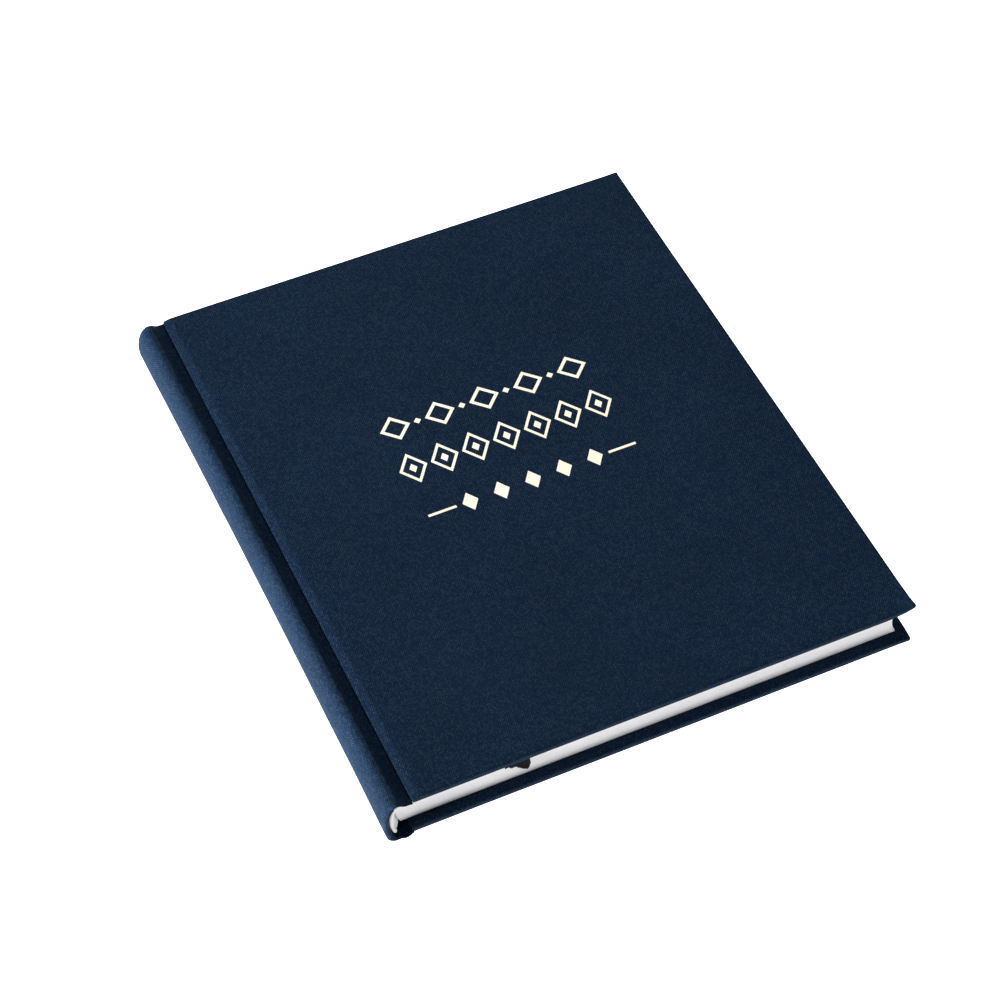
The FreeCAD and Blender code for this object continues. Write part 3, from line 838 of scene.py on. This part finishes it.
def woven_cotton(name, low, high, pitch_mm, from_uv, open_gaps):
    """Cotton cloth; open_gaps sets how much of each gap of the weave gets painted shade."""
    n = Nodes(name)
    if from_uv:
        vector = n.add("ShaderNodeUVMap", uv_map="weave").outputs[0]
    else:
        place = n.add("ShaderNodeSeparateXYZ", {0: n.add("ShaderNodeTexCoord").outputs["Object"]})
        vector = n.add("ShaderNodeCombineXYZ", {0: place.outputs[2], 1: place.outputs[1]}).outputs[0]
    height, streak = plain_weave(n, vector, pitch_mm, pitch_mm)[:2]
    colour = n.mix(streak, low, high)
    # Painted shade: the gaps between threads are darkened towards a darker copy of the cotton colour,
    # where shade falls.
    gap_shade = n.ramp(height, open_gaps, 0.0)
    colour = n.mix(gap_shade, colour, tuple(0.45 * c for c in low))
    return n.finish(
        colour, n.math("MULTIPLY_ADD", streak, 0.15, 0.75), height, 0.0001, 0.6,
        Sheen_Weight=0.2, Sheen_Roughness=0.5,
    )


def pulp_board(name, low, high, speck):
    """Pressed fibre board or kraft paper: cloudy, with short darker fibres."""
    n = Nodes(name)
    vector = n.add("ShaderNodeTexCoord").outputs["Object"]
    cloud = n.noise(vector, 90.0, 4.0, 0.6)
    fibre = n.noise(n.scaled(vector, (2400.0, 500.0, 1800.0)), 1.0, 3.0, 0.65)
    colour = n.mix(cloud, low, high)
    colour = n.mix(n.math("MULTIPLY", n.ramp(fibre, 0.58, 0.72), 0.5), colour, speck)
    return n.finish(colour, n.math("MULTIPLY_ADD", fibre, 0.15, 0.8), fibre, 0.00005, 0.5)


def linen_thread():
    """Twisted thread: fine pale and dark bands along it."""
    n = Nodes("linen_thread")
    vector = n.add("ShaderNodeTexCoord").outputs["Object"]
    split = n.add("ShaderNodeSeparateXYZ", {0: vector})
    along = n.math("MULTIPLY", split.outputs[1], 9000.0)
    lay = n.math("MULTIPLY_ADD", split.outputs[2], 14000.0, along)
    twist = n.math("MULTIPLY_ADD", n.math("SINE", lay), 0.5, 0.5)
    colour = n.mix(twist, (0.60, 0.56, 0.46), (0.82, 0.79, 0.70))
    return n.finish(colour, n.math("MULTIPLY_ADD", twist, 0.1, 0.6), twist, 0.00005, 0.7)


def floor_material():
    """A pale studio floor that gives off a little light, so that it stays white."""
    n = Nodes("studio_floor")
    vector = n.add("ShaderNodeTexCoord").outputs["Object"]
    tone = n.noise(vector, 1.5, 2.0)
    colour = n.mix(tone, (0.45, 0.45, 0.45), (0.48, 0.48, 0.48))
    return n.finish(
        colour, n.math("MULTIPLY_ADD", tone, 0.05, 0.9), None, 0.0, Specular_IOR_Level=0.0,
        Emission_Color=(1.0, 1.0, 1.0, 1.0), Emission_Strength=1.6,
    )


def dress(thing, material):
    """The object's only material."""
    thing.data.materials.clear()
    thing.data.materials.append(material)


cloth = book_cloth()
paper_edges = page_paper("page_paper", (0.93, 0.925, 0.945), True)
endpaper = page_paper("endpaper", (0.85, 0.85, 0.85), False)
white_cotton = woven_cotton("band_cotton", (0.86, 0.86, 0.86), (0.95, 0.95, 0.95), 0.26, True, 0.25)
mull = woven_cotton("mull_cotton", (0.66, 0.64, 0.58), (0.82, 0.80, 0.75), 0.9, False, 0.7)
greyboard = pulp_board("grey_board", (0.34, 0.33, 0.30), (0.46, 0.44, 0.41), (0.16, 0.15, 0.14))
inlay_card = pulp_board("inlay_card", (0.50, 0.47, 0.41), (0.60, 0.57, 0.51), (0.30, 0.27, 0.22))
kraft = pulp_board("kraft_lining", (0.62, 0.56, 0.44), (0.72, 0.67, 0.56), (0.42, 0.35, 0.24))
foil = gold_foil()

# ---------------------------------------------------------------- pieces on their bodies


def bend_at_joint(piece):
    """Bakes the piece's placement into its mesh; the piece is left on no body and does not bend at the
    joint.
    """
    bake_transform(piece)


SIDES = (("front", True), ("back", False))

for side, front in SIDES:
    skin = cover_shell(side + "_cloth", front)
    dress(skin, cloth)
    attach(skin, side + "_cover")
    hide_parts(side + "_cover_cloth")

for side, front in SIDES:
    core = board_core(side + "_core", front)
    dress(core, greyboard)
    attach(core, side + "_cover")
    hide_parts(side + "_board")

upper_spine = case_half("upper_spine_and_joint", True)
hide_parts("spine_cloth", "front_joint_cloth")
lower_spine = case_half("lower_spine_and_joint", False)
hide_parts("back_joint_cloth")
for piece, cover in ((upper_spine, "front_cover"), (lower_spine, "back_cover")):
    dress(piece, cloth)
    bend_at_joint(piece)

card = spine_card("spine_card")
dress(card, inlay_card)
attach(card, "text_block")
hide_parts("spine_inlay")

for side, front in SIDES:
    paper = joint_paper(side + "_joint_paper", front)
    dress(paper, endpaper)
    bend_at_joint(paper)

for number in range(1, SIGNATURES + 1):
    leaves = signature_piece(number)
    dress(leaves, paper_edges)
    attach(leaves, "text_block" if number < FIRST_TURNING else "gathering_%02d" % number)
    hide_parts("signature_%02d" % number)

for name, side in (("head_band", 1), ("tail_band", -1)):
    band = band_piece(name + "_bead", side)
    dress(band, white_cotton)
    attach(band, "text_block")
    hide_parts(name)

ribbon = ribbon_piece()
dress(ribbon, satin_ribbon())
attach(ribbon, "gathering_12")
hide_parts("ribbon_marker")

for node, material in (
    ("front_pastedown", endpaper), ("back_pastedown", endpaper),
    ("front_flyleaf", endpaper), ("back_flyleaf", endpaper),
    ("foil_ornament", foil),
    ("spine_mull", mull), ("spine_lining", kraft), ("sewing_thread", linen_thread()),
):
    dress(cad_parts[node], material)

# ---------------------------------------------------------------- floor, light and camera

FLOOR_SIZE, FLOOR_Z = 6.0, -0.00002
bpy.ops.mesh.primitive_plane_add(size=FLOOR_SIZE, location=(0, 0, FLOOR_Z))
floor = bpy.context.object
floor.name = "floor"
dress(floor, floor_material())

world = bpy.data.worlds.new("studio")
world.use_nodes = True
background = world.node_tree.nodes["Background"]
background.inputs["Color"].default_value = (1.0, 1.0, 1.0, 1.0)
background.inputs["Strength"].default_value = 0.13
bpy.context.scene.world = world
bpy.context.scene.view_settings.view_transform = "Standard"


def softbox(name, location, size, watts):
    """A soft rectangular light that points at the object."""
    light = bpy.data.lights.new(name, "AREA")
    light.shape = "RECTANGLE"
    light.size, light.size_y = size
    light.energy = watts
    holder = bpy.data.objects.new(name, light)
    holder.location = location
    holder.rotation_euler = (-Vector(location)).to_track_quat("-Z", "Y").to_euler()
    bpy.context.scene.collection.objects.link(holder)


softbox("key_left", (-1.5, 0.0, 0.30), (0.7, 0.18), 75.0)
softbox("overhead", (0.15, 0.85, 1.15), (0.9, 0.6), 9.0)

CAMERA_MM = (-232.71, -512.47, 683.34)
FOCAL_MM = 103.10
SENSOR_MM = 36.0
YAW, PITCH_DOWN, ROLL = math.radians(24.089), math.radians(50.583), math.radians(-0.535)
forward = Vector((
    math.sin(YAW) * math.cos(PITCH_DOWN), math.cos(YAW) * math.cos(PITCH_DOWN), -math.sin(PITCH_DOWN),
))
level = Vector((math.cos(YAW), -math.sin(YAW), 0.0))
unrolled_up = level.cross(forward)
right = level * math.cos(ROLL) + unrolled_up * math.sin(ROLL)
up = -level * math.sin(ROLL) + unrolled_up * math.cos(ROLL)
camera_data = bpy.data.cameras.new("camera")
camera_data.sensor_width = SENSOR_MM
camera_data.lens = FOCAL_MM
camera_data.clip_start = 0.01
camera = bpy.data.objects.new("camera", camera_data)
basis = Matrix((right, up, -forward)).transposed().to_4x4()
camera.matrix_world = Matrix.Translation(Vector(CAMERA_MM) * MM) @ basis
bpy.context.scene.collection.objects.link(camera)
bpy.context.scene.camera = camera
